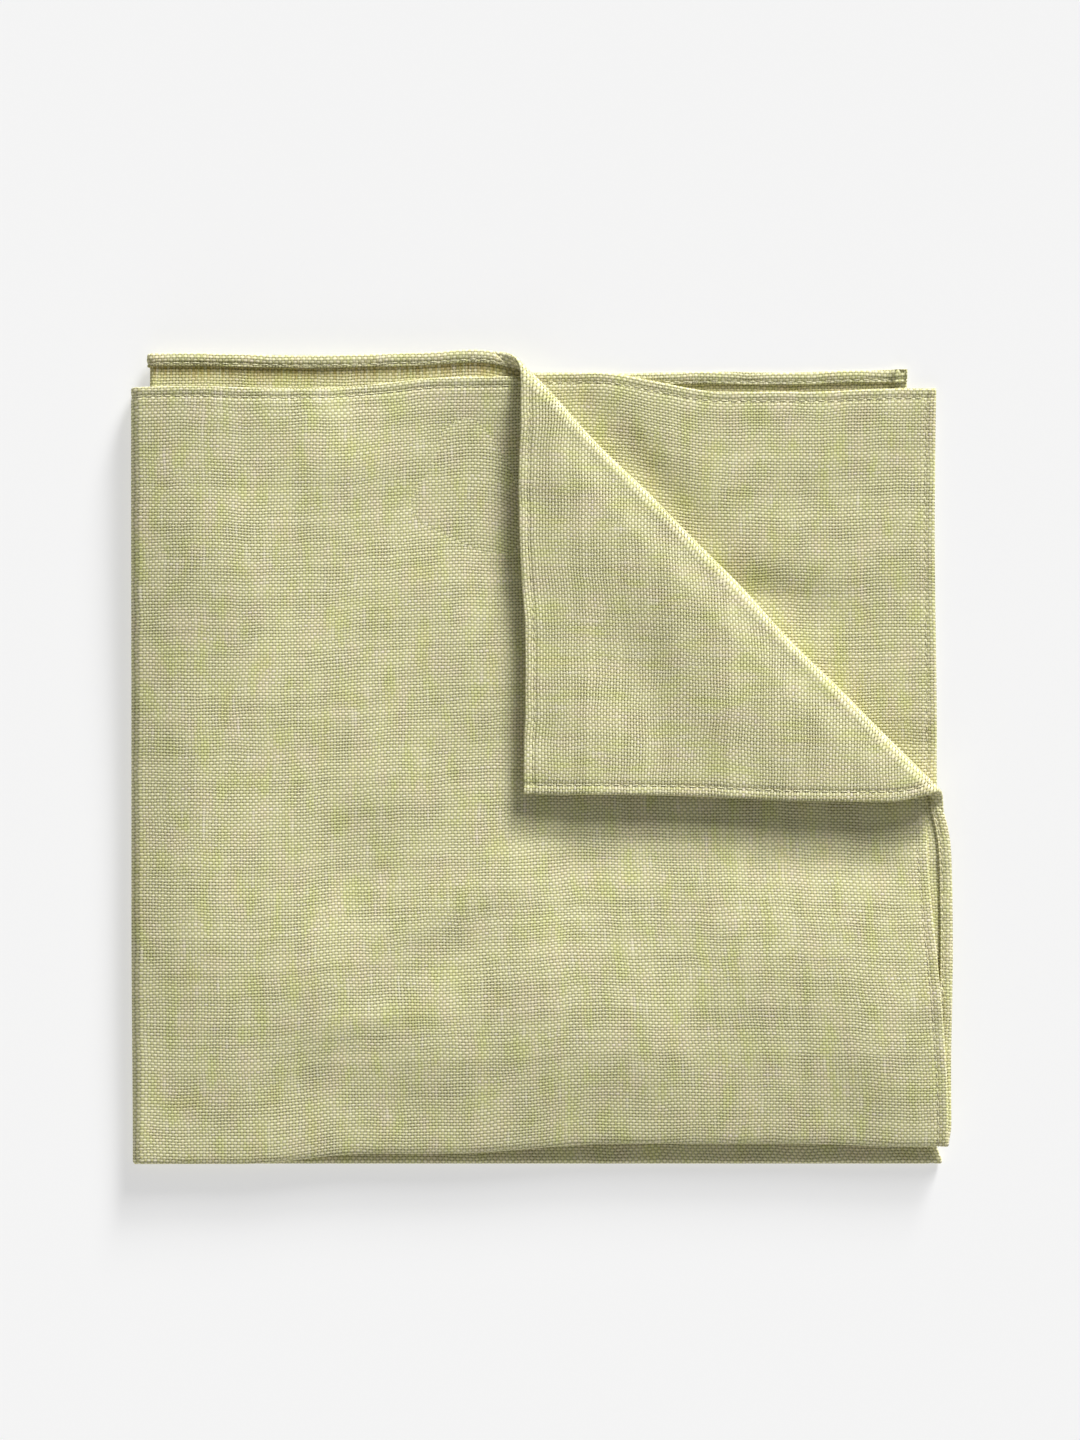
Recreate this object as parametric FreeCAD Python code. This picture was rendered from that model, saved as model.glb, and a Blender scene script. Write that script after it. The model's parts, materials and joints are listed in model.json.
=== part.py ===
import FreeCAD, Part
import math
import os

# A square linen cloth, folded in quarters, with the free corner of the two top layers turned back.
# Frame: +Z up, +X to the free right edges, +Y to the free top edges, origin at the packet's bottom centre.
# Lengths in millimetres, angles in degrees. The layers are numbered from the top: 1, 2, 3, 4.

V = FreeCAD.Vector

# ---- the cloth
CLOTH_W = 450.0        # finished side across the left fold
CLOTH_L = 450.0        # finished side across the bottom fold
CLOTH_T = 0.4          # thickness of one layer of cloth
HEM_W = 3.4            # width of the turned hem
HEM_LAYERS = 3         # layers of cloth in the hem
THREAD_W = 0.3         # sewing thread, across
THREAD_T = 0.15        # sewing thread, height above the hem
SEAM_IN = 2.6          # sewing line, from the cloth's edge

# ---- the stack
HEM_GAP = 0.05         # clear between two hems that face each other
BODY_GAP = 0.3         # clear between a bending fold and the leaf it doesn't belong to

# ---- how far each free edge lands past the middle of the cloth, at its two ends
RIGHT_1_LOW = 7.6
RIGHT_1_HIGH = -1.5
RIGHT_2 = 8.4
RIGHT_3 = 4.1
RIGHT_4 = -4.4
TOP_1_LEFT = -3.6
TOP_1_RIGHT = -1.5
TOP_2_LEFT = 5.6
TOP_2_RIGHT = -0.2
TOP_3_RIGHT = -4.8
TOP_4_RIGHT = 1.4

# ---- the folds
INNER_LEFT_IN = 5.3    # inner left fold, in from the outer left fold
UPPER_BOTTOM_LEFT = 0.4    # fold of the upper leaf, up from the lower leaf's fold, at the left
UPPER_BOTTOM_RIGHT = 7.0   # the same at the right
CREASE_TOP_X = 111.9   # where the diagonal crease meets the top edge, from the left fold
CREASE_RIGHT_Y = 103.2     # where it meets the right edge, from the bottom fold

# ---- worked out from the sizes above
HALF_W = CLOTH_W / 2.0
HALF_L = CLOTH_L / 2.0
HEM_T = HEM_LAYERS * CLOTH_T
LAYER_PITCH = 2.0 * HEM_T + THREAD_T + HEM_GAP - CLOTH_T     # from one layer to the next: the hems set it
Z4 = 0.0
Z3 = Z4 + LAYER_PITCH
Z2 = Z3 + LAYER_PITCH
Z1 = Z2 + LAYER_PITCH
Z1C = Z1 + LAYER_PITCH
Z2C = Z1C + LAYER_PITCH
R_SMALL = (LAYER_PITCH + CLOTH_T) / 2.0          # outer radius of a fold of two neighbouring layers
R_LARGE = (3.0 * LAYER_PITCH + CLOTH_T) / 2.0    # outer radius of a fold that goes round two more layers
BOTTOM_IN = R_SMALL

OUTER_X = R_LARGE                       # straight cloth starts here beside the outer left fold
INNER_X = INNER_LEFT_IN + R_SMALL


def meet(p, q, r, s):
    """Crossing point of the lines p-q and r-s."""
    a = (q[0] - p[0], q[1] - p[1])
    b = (s[0] - r[0], s[1] - r[1])
    det = a[0] * b[1] - a[1] * b[0]
    t = ((r[0] - p[0]) * b[1] - (r[1] - p[1]) * b[0]) / det
    return (p[0] + a[0] * t, p[1] + a[1] * t)


def inset(poly, sides):
    """The polygon with side i (from corner i to i + 1, counter-clockwise) moved in by sides[i]."""
    n = len(poly)
    lines = []
    for i in range(n):
        p = poly[i]
        q = poly[(i + 1) % n]
        long = math.hypot(q[0] - p[0], q[1] - p[1])
        nx = -(q[1] - p[1]) / long * sides[i]
        ny = (q[0] - p[0]) / long * sides[i]
        lines.append(((p[0] + nx, p[1] + ny), (q[0] + nx, q[1] + ny)))
    return [meet(*lines[i - 1], *lines[i]) for i in range(n)]


def plate(poly, z, thick):
    points = [V(x, y, z) for x, y in poly]
    face = Part.Face(Part.makePolygon(points + points[:1]))
    return face.extrude(V(0, 0, thick))


def fold(p, q, out, z_mid, radius):
    """Half tube along p-q, bulging towards out, with its straight sides on the line p-q."""
    run = V(q[0] - p[0], q[1] - p[1], 0)
    away = V(out[0], out[1], 0)
    away = away - run * (away.dot(run) / run.dot(run))
    away.normalize()
    start = V(p[0], p[1], z_mid)
    up = V(0, 0, 1)
    inner = radius - CLOTH_T
    a = Part.Arc(start + up * radius, start + away * radius, start - up * radius).toShape()
    b = Part.makeLine(start - up * radius, start - up * inner)
    c = Part.Arc(start - up * inner, start + away * inner, start + up * inner).toShape()
    d = Part.makeLine(start + up * inner, start + up * radius)
    return Part.Face(Part.Wire([a, b, c, d])).extrude(run)


def mirror(p):
    """The point on the other side of the diagonal crease."""
    dx = CREASE_B[0] - CREASE_A[0]
    dy = CREASE_B[1] - CREASE_A[1]
    t = ((p[0] - CREASE_A[0]) * dx + (p[1] - CREASE_A[1]) * dy) / (dx * dx + dy * dy)
    foot = (CREASE_A[0] + dx * t, CREASE_A[1] + dy * t)
    return (2 * foot[0] - p[0], 2 * foot[1] - p[1])


# ---- the layers' outlines, corners counter-clockwise from the bottom left, before the hems are taken off
def outline(x_left, bottom, right, top):
    """Left line x, bottom line, right line and top line, each of the last three as two points."""
    left = ((x_left, 0.0), (x_left, 1.0))
    return [meet(*left, *bottom), meet(*bottom, *right), meet(*right, *top), meet(*top, *left)]


LOW_BOTTOM = ((0.0, BOTTOM_IN), (HALF_W, BOTTOM_IN))
UP_BOTTOM = ((0.0, UPPER_BOTTOM_LEFT + BOTTOM_IN), (HALF_W, UPPER_BOTTOM_RIGHT + BOTTOM_IN))


def right_line(low, high):
    return ((HALF_W + low, 0.0), (HALF_W + high, HALF_L))


def top_line(left, right):
    return ((0.0, HALF_L + left), (HALF_W, HALF_L + right))


LINES = {
    1: (OUTER_X + BODY_GAP, UP_BOTTOM, right_line(RIGHT_1_LOW, RIGHT_1_HIGH),
        top_line(TOP_1_LEFT, TOP_1_RIGHT)),
    2: (INNER_X + BODY_GAP, UP_BOTTOM, right_line(RIGHT_2, RIGHT_2), top_line(TOP_2_LEFT, TOP_2_RIGHT)),
    3: (INNER_X, LOW_BOTTOM, right_line(RIGHT_3, RIGHT_3), top_line(TOP_2_LEFT, TOP_3_RIGHT)),
    4: (OUTER_X, LOW_BOTTOM, right_line(RIGHT_4, RIGHT_4), top_line(TOP_1_LEFT, TOP_4_RIGHT)),
}
LEVEL = {1: Z1, 2: Z2, 3: Z3, 4: Z4}
HEM_UP = {1: False, 2: True, 3: False, 4: True}     # the turned side of the hem faces up or down
CREASE_A = meet((CREASE_TOP_X, 0.0), (CREASE_TOP_X, 1.0), *LINES[2][3])
CREASE_B = meet((0.0, CREASE_RIGHT_Y), (1.0, CREASE_RIGHT_Y), *LINES[2][2])
CREASE_LONG = math.hypot(CREASE_B[0] - CREASE_A[0], CREASE_B[1] - CREASE_A[1])
CREASE_OUT = ((CREASE_A[1] - CREASE_B[1]) / CREASE_LONG, (CREASE_B[0] - CREASE_A[0]) / CREASE_LONG)


def crease_line(back):
    """The crease moved back, towards the packet's middle, by this much."""
    return tuple((p[0] - CREASE_OUT[0] * back, p[1] - CREASE_OUT[1] * back) for p in (CREASE_A, CREASE_B))


parts = {}


def sew(name, seam, z):
    """A thin strip of thread along the seam line, on the hem's stitched face."""
    (ax, ay), (bx, by) = seam
    long = math.hypot(bx - ax, by - ay)
    sx = -(by - ay) / long * THREAD_W / 2.0
    sy = (bx - ax) / long * THREAD_W / 2.0
    strip = [(ax - sx, ay - sy), (bx - sx, by - sy), (bx + sx, by + sy), (ax + sx, ay + sy)]
    parts[name] = plate(strip, z, THREAD_T)


def layer(quarter, hem_top, hem_right, poly, kinds, z, up):
    """One layer: its flat cloth and a hem along each side whose kind is a hem's."""
    sides = [HEM_W if k in ("top", "right") else 0.0 for k in kinds]
    inner = inset(poly, sides)
    parts[quarter] = plate(inner, z, CLOTH_T)
    seams = inset(poly, [SEAM_IN if s else 0.0 for s in sides])
    base = z if up else z + CLOTH_T - HEM_T
    n = len(poly)
    for i in range(n):
        if not sides[i]:
            continue
        name = hem_top if kinds[i] == "top" else hem_right
        j = (i + 1) % n
        parts[name] = plate([poly[i], poly[j], inner[j], inner[i]], base, HEM_T)
        # the thread shows on the side of the hem that faces up in the packet
        cut = 2.0 * THREAD_W
        a = seams[i]
        b = seams[j]
        long = math.hypot(b[0] - a[0], b[1] - a[1])
        ux = (b[0] - a[0]) / long
        uy = (b[1] - a[1]) / long
        seam = ((a[0] + ux * cut, a[1] + uy * cut), (b[0] - ux * cut, b[1] - uy * cut))
        sew("stitch_" + name, seam, base + HEM_T)


# ---- lower leaf: quarters 4 and 3 whole
for number in (4, 3):
    whole = outline(*LINES[number])
    layer("quarter_%d" % number, "hem_top_%d" % number, "hem_right_%d" % number,
          whole, ["fold", "right", "top", "fold"], LEVEL[number], HEM_UP[number])

# ---- upper leaf: quarters 2 and 1 without their corner, and the corner turned over onto them
for number, level in ((2, Z2C), (1, Z1C)):
    whole = outline(*LINES[number])
    cut = crease_line(R_LARGE)
    on_right = meet(*cut, whole[1], whole[2])
    on_top = meet(*cut, whole[2], whole[3])
    rest = [whole[0], whole[1], on_right, on_top, whole[3]]
    layer("quarter_%d" % number, "hem_top_%d" % number, "hem_right_%d" % number,
          rest, ["fold", "right", "crease", "top", "fold"], LEVEL[number], HEM_UP[number])
    # beyond the crease the cloth starts again as far out as it stopped short of it
    far = crease_line(-R_LARGE - BODY_GAP)
    far_right = meet(*far, whole[1], whole[2])
    far_top = meet(*far, whole[2], whole[3])
    turned = [mirror(p) for p in (far_right, far_top, whole[2])]
    layer("corner_%d" % number, "hem_top_corner_%d" % number, "hem_right_corner_%d" % number,
          turned, ["crease", "top", "right"], level, not HEM_UP[number])

# ---- folds
top_4 = outline(*LINES[4])[3]
top_3 = outline(*LINES[3])[3]
Z_BOOK = (Z4 + Z1 + CLOTH_T) / 2.0
Z_LOW_FOLD = (Z4 + Z3 + CLOTH_T) / 2.0
Z_UP_FOLD = (Z2 + Z1 + CLOTH_T) / 2.0
Z_CREASE = (Z1 + Z1C + CLOTH_T) / 2.0
parts["outer_left_fold"] = fold((OUTER_X, 2.0 * BOTTOM_IN), top_4, (-1, 0), Z_BOOK, R_LARGE)
parts["inner_left_fold"] = fold((INNER_X, 2.0 * BOTTOM_IN), top_3, (-1, 0), Z_BOOK, R_SMALL)
low = outline(*LINES[4])
parts["lower_bottom_fold"] = fold(low[0], low[1], (0, -1), Z_LOW_FOLD, R_SMALL)
up = outline(*LINES[1])
parts["upper_bottom_fold"] = fold(up[0], up[1], (0, -1), Z_UP_FOLD, R_SMALL)
for number, name, radius in ((1, "inner_corner_fold", R_SMALL), (2, "outer_corner_fold", R_LARGE)):
    whole = outline(*LINES[number])
    ends = (meet(CREASE_A, CREASE_B, whole[2], whole[3]), meet(CREASE_A, CREASE_B, whole[1], whole[2]))
    a, b = [(p[0] - CREASE_OUT[0] * R_LARGE, p[1] - CREASE_OUT[1] * R_LARGE) for p in ends]
    parts[name] = fold(a, b, CREASE_OUT, Z_CREASE, radius)

# ---- put the packet's bottom centre at the origin and write the parts
box = FreeCAD.BoundBox()
for shape in parts.values():
    if not shape.isValid() or shape.Volume <= 0 or len(shape.Solids) != 1:
        raise ValueError("a part is not one sound solid")
    box.add(shape.optimalBoundingBox())
shift = V(-(box.XMin + box.XMax) / 2.0, -(box.YMin + box.YMax) / 2.0, -box.ZMin)
os.makedirs("parts", exist_ok=True)
for name in sorted(parts):
    parts[name].translate(shift)
    parts[name].exportStep("parts/%s.step" % name)
print("nodes", len(parts))
print("box", round(box.XLength, 3), round(box.YLength, 3), round(box.ZLength, 3))
print("leaf hinge: x %.3f z %.3f" % (shift.x, Z_BOOK))
mid = [(CREASE_A[i] + CREASE_B[i]) / 2.0 + shift[i] for i in (0, 1)]
print("crease hinge: point %.3f %.3f %.3f" % (mid[0], mid[1], Z_CREASE))
way = [(CREASE_A[i] - CREASE_B[i]) / CREASE_LONG for i in (0, 1)]
print("crease axis: %.6f %.6f" % tuple(way))
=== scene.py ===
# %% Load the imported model
import json
import math

import bmesh
import bpy
import numpy as np
from mathutils import Matrix, Vector


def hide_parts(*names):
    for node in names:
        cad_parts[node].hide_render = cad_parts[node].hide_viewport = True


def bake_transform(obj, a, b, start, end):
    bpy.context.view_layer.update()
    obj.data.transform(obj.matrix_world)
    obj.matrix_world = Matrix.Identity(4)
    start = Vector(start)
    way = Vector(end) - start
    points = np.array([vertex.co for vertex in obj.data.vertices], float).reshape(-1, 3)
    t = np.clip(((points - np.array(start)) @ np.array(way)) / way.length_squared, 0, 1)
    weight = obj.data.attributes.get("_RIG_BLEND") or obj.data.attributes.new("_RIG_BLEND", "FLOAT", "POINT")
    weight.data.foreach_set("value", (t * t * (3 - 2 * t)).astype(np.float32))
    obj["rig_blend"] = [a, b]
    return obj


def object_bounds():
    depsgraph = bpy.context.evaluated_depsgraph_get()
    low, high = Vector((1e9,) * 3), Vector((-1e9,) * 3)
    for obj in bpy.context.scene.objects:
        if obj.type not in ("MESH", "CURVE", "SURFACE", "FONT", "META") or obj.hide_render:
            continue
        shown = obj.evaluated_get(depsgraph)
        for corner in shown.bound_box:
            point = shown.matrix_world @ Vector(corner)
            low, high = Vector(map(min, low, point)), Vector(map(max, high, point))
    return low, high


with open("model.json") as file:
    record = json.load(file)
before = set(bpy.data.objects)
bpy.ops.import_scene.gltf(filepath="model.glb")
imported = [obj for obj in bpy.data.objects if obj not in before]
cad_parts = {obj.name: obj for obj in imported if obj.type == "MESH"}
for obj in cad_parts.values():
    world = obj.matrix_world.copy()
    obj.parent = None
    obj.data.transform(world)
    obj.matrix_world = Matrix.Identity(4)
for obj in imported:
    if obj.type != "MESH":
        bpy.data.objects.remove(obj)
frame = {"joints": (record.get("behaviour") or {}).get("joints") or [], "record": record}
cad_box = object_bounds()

MM = 0.001
scene = bpy.context.scene
joints = {j["name"]: j for j in frame["joints"]}
print("model box, mm:", [[round(v / MM, 1) for v in c] for c in cad_box])

# %% [markdown]
# The real object is one square of woven linen. It is folded in half, folded in half again, and then the
# free corner of its two upper layers is turned back. A simulation could drop such a cloth onto a table,
# but a pressed fold is neater than anything that falls. So the cloth is laid by rule: every point of the
# flat cloth has a place, U across and V along, and three folds carry it to where it lies. All the lengths
# below are in millimetres.

# %% Sizes of the cloth and of the stack
HALF = 225.0            # finished cloth, from its middle to its edge
CLOTH = 0.36            # thickness of the linen
PITCH = 2.2             # from one layer to the next
BOTTOM_R = PITCH / 2    # the first fold: two layers lie against each other
LEFT_R = PITCH          # the second fold turns that pair
CREASE_R = PITCH        # so does the diagonal one
PRESSED = 0.35          # how much the first fold is flattened by the hand that made it
BOOK_Z = joints["leaf_opening"]["pos_m"][2] / MM
CREASE_Z = joints["corner_unfolding"]["pos_m"][2] / MM
LEFT_X = cad_box[0][0] / MM
LOW_Y = cad_box[0][1] / MM
UPPER_Z = BOOK_Z + LEFT_R      # middle of the upper pair of layers
STRAIGHT_X = BOOK_Z            # from the left fold's outside to where the layers run straight
crease_at = Vector(joints["corner_unfolding"]["pos_m"]) / MM
crease_way = Vector(joints["corner_unfolding"]["axis"]).normalized()
crease_out = Vector((abs(crease_way.y), abs(crease_way.x), 0.0))
print("upper pair lies at", round(UPPER_Z, 2), "mm, crease turns at", round(CREASE_Z, 2), "mm")

# %% Small helpers for smooth shapes


def ease(a, b, x):
    """0 before a, 1 after b, and a soft step between. Where a is past b, it steps down instead."""
    t = np.clip((x - a) / (b - a), 0.0, 1.0)
    return t * t * (3 - 2 * t)


def rise(x, reach):
    """Leaves 0 steeply and levels out at 1, as cloth does beside a fold."""
    return np.sin(math.pi / 2 * np.clip(x / reach, 0.0, 1.0))


def hill(x, at, width):
    """A soft bump: 1 where x is at, and about a third one width away."""
    return np.exp(-(((x - at) / width) ** 2))


def swell(x, y, waves):
    """Adds up long gentle waves, each (height, length, direction in degrees, start)."""
    total = 0.0 * x
    for height, length, way, start in waves:
        a = math.radians(way)
        total = total + height * np.sin(2 * math.pi * (x * math.cos(a) + y * math.sin(a)) / length + start)
    return total


# %% [markdown]
# Nobody folds a cloth exactly in half. The edges of the four layers end a few millimetres apart, the
# upper pair's fold runs a little askew, and the hems wander. Straight edges would look drawn with a
# ruler, so each layer's edge gets its own gentle line, built from soft steps at the places where it
# turns.

# %% Where each layer's edges end


def right_edge(U, V):
    """Distance of the free right edge from the left fold."""
    top = 232.3 - 6.3 * ease(5, 105, V) - 2.1 * ease(110, HALF, V)
    under = 232.5 + 0.9 * ease(0, 7, -V) - 2.8 * hill(-V, 103, 9) + 0.25 * np.sin(V / 13.0)
    tip = 1.5 * ease(6, 1, np.abs(V))
    over = 229.1 + 0.3 * np.sin(V / 21.0 + 1.0) + tip
    bottom = 229.1 - 8.4 * ease(2, 45, V) + 0.4 * np.sin(V / 17.0) + tip
    return np.where(U > 0, np.where(V > 0, top, under), np.where(V > 0, bottom, over))


def top_edge(U, V):
    """Distance of the free top edge from the bottom fold."""
    x = np.abs(U)
    top = 221.0 + 3.4 * ease(57, 97, x) - 1.9 * ease(112, HALF, x) + 0.25 * np.sin(x / 9.0)
    under = 230.6 + 1.2 * hill(x, 93, 10) - 1.9 * ease(96, 112, x) - 4.2 * ease(112, HALF, x)
    under = under + 0.35 * np.sin(x / 11.0 + 0.6)
    over = 230.6 - 5.0 * ease(60, 112, x) - 5.4 * ease(128, 165, x) + 0.9 * ease(190, 215, x)
    bottom = 221.0 + 4.6 * ease(20, 140, x) + 1.0 * ease(185, 212, x) + 0.3 * np.sin(x / 12.0)
    return np.where(U > 0, np.where(V > 0, top, under), np.where(V > 0, bottom, over))


def bottom_fold(U):
    """How far the bottom fold lies in from the straight line, for the upper pair and the lower pair."""
    upper = 0.4 + 2.9 * ease(30, 66, U) + 2.9 * ease(84, 136, U) - 0.9 * ease(180, 216, U)
    lower = 0.15 + 0.2 * np.sin(U / 31.0)
    return np.where(U > 0, upper, lower)


for v in (20.0, 200.0):
    print("top layer's right edge,", v, "mm up:", round(float(right_edge(np.array(1.0), np.array(v))), 1))

# %% [markdown]
# Linen is springy, so a folded packet is plump. The top layer leaves the left fold in a soft shoulder,
# stands as a belly above the bottom fold, and sinks towards the middle. Small puckers run in from the
# sewn edges. A simulation would find such shapes by itself, but not where they are wanted. So each layer
# gets its own swell, as a sum of soft steps, hills and ridges, and it stays small enough for the
# layers to lie on each other.

# %% The swell of each layer, up or down from level


def before_crease(U, V):
    """Roughly how far a point of the flat cloth lies on the near side of the diagonal fold."""
    across_left = crease_at.x - LEFT_X - np.abs(U)
    along_left = crease_at.y - LOW_Y - np.abs(V)
    return across_left * crease_out.x + along_left * crease_out.y


def ridge(x, y, at, way, reach, height):
    """A soft crease in the cloth, round the point at, in the direction way in degrees.

    reach is its half length, and its width on the left and on the right of that direction.
    """
    a = math.radians(way)
    run = (x - at[0]) * math.cos(a) + (y - at[1]) * math.sin(a)
    off = (y - at[1]) * math.cos(a) - (x - at[0]) * math.sin(a)
    width = np.where(off > 0, reach[1], reach[-1])
    return height * np.exp(-((run / reach[0]) ** 2) - (off / width) ** 2)


def ramp(x, top, soft):
    """Climbs evenly from 0 and stops at 1 when x reaches top, with a soft bend."""
    return 1 - soft / top * np.log1p(np.exp((top - x) / soft))


def plump(U, V):
    """How much the top layer stands up between the folds and the sewn edges."""
    x, y = np.abs(U), np.abs(V)
    shoulder = 3.2 * rise(x, 24) - 2.8 * ease(20, 84, x)
    far = 1.4 * ease(112, 205, y) * (1 - ease(66, 100, x))
    far = far - 1.3 * hill(x, 78, 34) * ease(120, 184, y) * ease(206, 186, y)
    loft = (shoulder * ease(4, 80, y) + far) * ease(10, 60, before_crease(U, V))
    lip = 0.4 * rise(x, 12) * rise(y, 5) * ease(90, 30, y)
    belly = (2.2 + ease(36, 98, y)) * rise(x, 44) * ramp(y, 32, 3) * ease(98, 36, y)
    sink = 1.0 * ease(36, 98, y) * ease(20, 70, x) * ease(-8, 30, before_crease(U, V))
    return lip + (loft + belly * (0.4 + 0.6 * ease(30, 120, x)) - sink) * (1 - 0.3 * ease(204, HALF, x))


def layer_swell(U, V):
    """How far the cloth stands above its level place, for points of the flat cloth."""
    x, y = np.abs(U), np.abs(V)
    calm = ease(3, 26, x) * ease(2, 22, y)              # nothing near the two folds
    turned_part = ease(2, -8, before_crease(U, V))      # 1 past the crease
    # the waves that all the layers share, and the sink towards the bottom fold
    common = swell(x, y, [(0.16, 96, 20, 0.4), (0.13, 61, 74, 1.9), (0.09, 37, 128, 0.2)])
    lift = -0.35 * rise(x, 22) * ease(70, 3, y)
    # the top layer, with two short creases and one long one
    top = 1.4 * common + swell(x, y, [(0.24, 140, 96, 2.1), (0.16, 48, 40, 4.0), (0.08, 29, 10, 1.0)])
    top = top + ridge(x, y, (73, 139), 41, (15, 4), 0.5) + ridge(x, y, (62, 39), 11, (13, 4), 0.5)
    top = top + ridge(x, y, (98, 74), 24, (30, 8), 0.7) - ridge(x, y, (80, 56), 30, (26, 8), 0.4)
    trough = 0.9 * ease(96, 128, x) * hill(y, 98, 19) * (1 - turned_part)
    top = calm * top * (1 - 0.75 * turned_part) + lift + plump(U, V) - trough
    # the layer under it follows at half height, and rises behind the top hem
    under = calm * (0.35 * common + 0.1) + lift + 0.5 * np.maximum(plump(U, V), 0) * ease(130, 90, y)
    far_side = ease(HALF - 3, HALF - 15, y) * ease(130, HALF - 25, y)
    under = under + 0.9 * far_side * ease(-4, 30, before_crease(U, V))
    # the lower pair: its upper layer shows at the right, with five creases, and lies low at its hems
    over = 0.25 + 0.6 * common + 0.3 * ease(30, 3, y)
    for at, way, reach, depth in (
        ((143, 199), -44, (26, 5, 11), 1.6),
        ((176, 166), -16, (24, 5, 9), 1.35),
        ((168, 140), -27, (16, 5, 9), 1.1),
        ((206, 121), 6, (22, 4.5, 9), 1.0),
        ((190, 196), 12, (20, 5, 8), 0.5),
    ):
        over = over - 1.12 * ridge(x, y, at, way, reach, depth)
    over = over - 0.35 * np.maximum(hill(y, HALF, 16), hill(x, HALF, 16))
    bottom = 0.12 + 0.3 * np.abs(common)
    lower_pair = calm * np.where(V > 0, bottom, over)
    w = np.where(U > 0, np.where(V > 0, top, under), lower_pair)
    # puckers along the sewn edges, weakest on the hidden bottom layer
    near_top = hill(y, HALF, 13)
    near_right = hill(x, HALF, 13)
    size = np.where((U < 0) & (V > 0), 0.05, np.where((U > 0) & (V > 0), 0.12, 0.16))
    pucker = near_top * swell(x, y, [(0.5, 13, 4, 0.0), (0.5, 19, -8, 1.0), (0.4, 31, 3, 2.0)])
    pucker = pucker + near_right * swell(x, y, [(0.5, 14, 86, 0.5), (0.5, 22, 95, 1.4), (0.4, 35, 90, 0.3)])
    return w + calm * size * pucker


grid = np.meshgrid(np.linspace(-220, 220, 90), np.linspace(-220, 220, 90))
levels = layer_swell(*grid)
print("swell, mm: lowest", round(float(levels.min()), 2), "highest", round(float(levels.max()), 2))

# %% [markdown]
# The first fold runs along the bottom edge and lays two layers together. The second, at the left edge,
# turns that pair over itself. Bend modifiers could make them one by one, but each would need its own
# limits and none would know of the wandering edges. Here a point less than a quarter turn from a fold
# line goes round an arc, any other lies straight beyond it, and then the swell is added.

# %% The first two folds


def lay_down(U, V):
    """Places in mm of points of the flat cloth after the bottom fold and the left fold."""
    # bottom fold: the V < 0 half goes underneath
    half_arc = math.pi * BOTTOM_R / 2
    turn = np.clip(V / BOTTOM_R, -math.pi / 2, math.pi / 2)
    level = BOTTOM_R * np.sin(turn) * (1 - PRESSED * ease(70, 2, np.abs(V)))
    y = BOTTOM_R * (1 - np.cos(turn)) + np.maximum(np.abs(V) - half_arc, 0.0)
    along = np.abs(V) / HALF
    inset = bottom_fold(U) * ease(-3, 3, U) + 0.2 * ease(3, -3, U)
    y = y + CLOTH / 2 + inset * (1 - along)
    y = y + (top_edge(U, V) - (HALF - half_arc + BOTTOM_R + CLOTH / 2)) * along
    # left fold: the U < 0 half goes underneath both
    half_arc = math.pi * LEFT_R / 2
    turn = np.clip(U / LEFT_R, -math.pi / 2, math.pi / 2)
    r = LEFT_R + level
    slack = 3.1 * ease(2, 18, -V)
    x = STRAIGHT_X - r * np.cos(turn) + np.maximum(np.abs(U) - half_arc, 0.0) + slack
    x = x + (right_edge(U, V) - (HALF - half_arc + STRAIGHT_X) - slack) * np.abs(U) / HALF
    z = BOOK_Z + r * np.sin(turn) + layer_swell(U, V)
    return np.stack([x + LEFT_X, y + LOW_Y, z], -1)


def wrong_side(U, V):
    """Unit normal of the laid cloth, towards its wrong side."""
    e = 0.02
    a = lay_down(U + e, V) - lay_down(U - e, V)
    b = lay_down(U, V + e) - lay_down(U, V - e)
    n = -np.cross(a, b)
    return n / np.linalg.norm(n, axis=-1, keepdims=True)


middle = lay_down(np.array([100.0, 100.0, -100.0, -100.0]), np.array([100.0, -100.0, -100.0, 100.0]))
print("heights of the four layers:", [round(float(p[2]), 2) for p in middle])

# %% [markdown]
# A linen edge frays, so it is turned over twice and sewn down. The turned cloth is not a separate strip:
# it is the last few millimetres of the same sheet. So the flat sheet is cut a little larger, and its
# margin is rolled round the edge, run back in, and tucked under itself, as a maker does with an iron. The
# sewing line pulls the layers together.

# %% The turned hem
EDGE_R = 0.4            # roll of the cloth round its edge
TUCK_R = 0.2            # roll where it is tucked under itself
HEM_RUN = 2.7           # turned layer, from the edge roll to the tuck
TUCK_RUN = 2.2          # tucked layer
SEAM_IN = 2.6           # sewing line, from the finished edge
TURN_AT = HALF - EDGE_R
ROLL = math.pi * EDGE_R
TUCK = math.pi * TUCK_R
MARGIN = ROLL + HEM_RUN + TUCK + TUCK_RUN


def turned(p):
    """For a distance p from the cloth's middle: where it ends up, and how far off, on the wrong side."""
    side = np.sign(p)
    d = np.abs(p) - TURN_AT
    a = np.clip(d / EDGE_R, 0, math.pi)
    run = np.clip(d - ROLL, 0, HEM_RUN)
    b = np.clip((d - ROLL - HEM_RUN) / TUCK_R, 0, math.pi)
    back = np.maximum(d - ROLL - HEM_RUN - TUCK, 0)
    at = TURN_AT + np.minimum(d, 0) + EDGE_R * np.sin(a) - run - TUCK_R * np.sin(b) + back
    off = EDGE_R * (1 - np.cos(a)) - TUCK_R * (1 - np.cos(b))
    pull = 0.24 * hill(at, HALF - SEAM_IN, 0.6) * (np.abs(p) > HALF - 8)
    off = off + pull * np.where(d < ROLL / 2, 1.0, -1.0) * np.where(d > ROLL + HEM_RUN, 0.0, 1.0)
    full = 0.14 * np.sin(math.pi * np.clip(run / (SEAM_IN - EDGE_R), 0, 1)) * (d < ROLL + HEM_RUN)
    return side * at, off + full


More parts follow.
